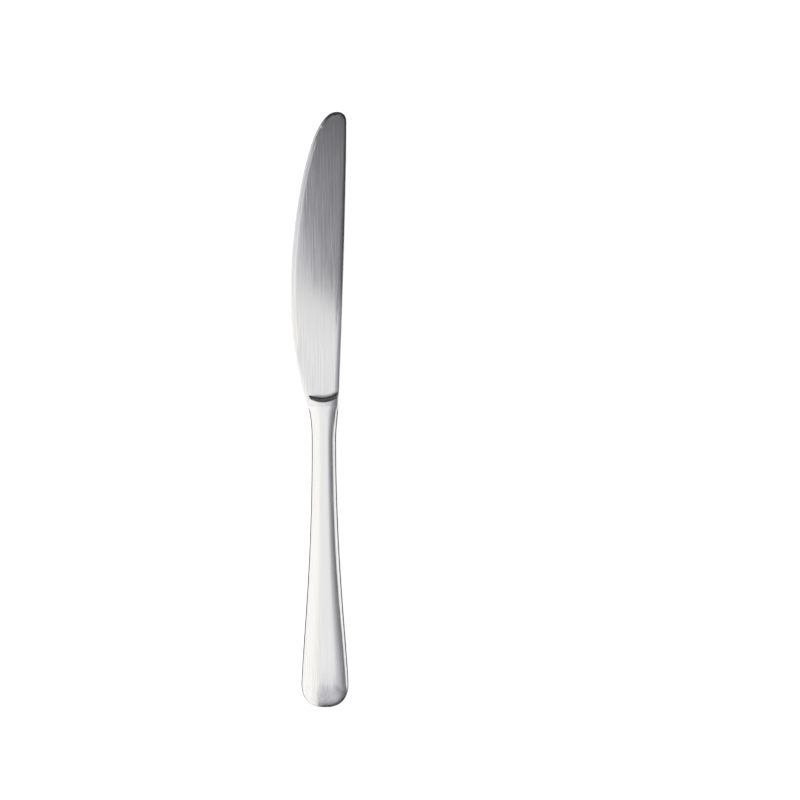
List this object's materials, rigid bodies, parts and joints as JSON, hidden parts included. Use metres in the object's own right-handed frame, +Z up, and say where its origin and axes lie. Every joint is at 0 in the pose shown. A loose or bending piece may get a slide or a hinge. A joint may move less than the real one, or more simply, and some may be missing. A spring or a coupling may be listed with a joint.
{
  "type": "table knife",
  "caption": "Hollow-handled steel table knife: rounded blade with a ground edge, a curved shoulder at the bolster and a brushed handle that widens to a round butt.",
  "frame": {"origin": "centre of the knife's length and width, on the surface that it lies on", "axes": "+Y along the knife from butt to tip, +X from the cutting edge to the spine, +Z up through the upper handle half"},
  "size_m": [0.0208, 0.22, 0.0096],
  "materials": {
    "blade_steel": "fine brushed along the blade",
    "handle_steel": "satin, brushed along the handle",
    "seam_braze": "left dull as brazed, a little proud of the steel",
    "ring_braze": "dressed flush with the steel",
    "cement": "matt set cement"
  },
  "bodies": {
    "root": {"blade": "blade_steel", "handle_front_shell": "handle_steel", "handle_back_shell": "handle_steel", "seam_braze": "seam_braze", "bolster_braze": "ring_braze", "handle_filler": "cement"}
  },
  "joints": []
}
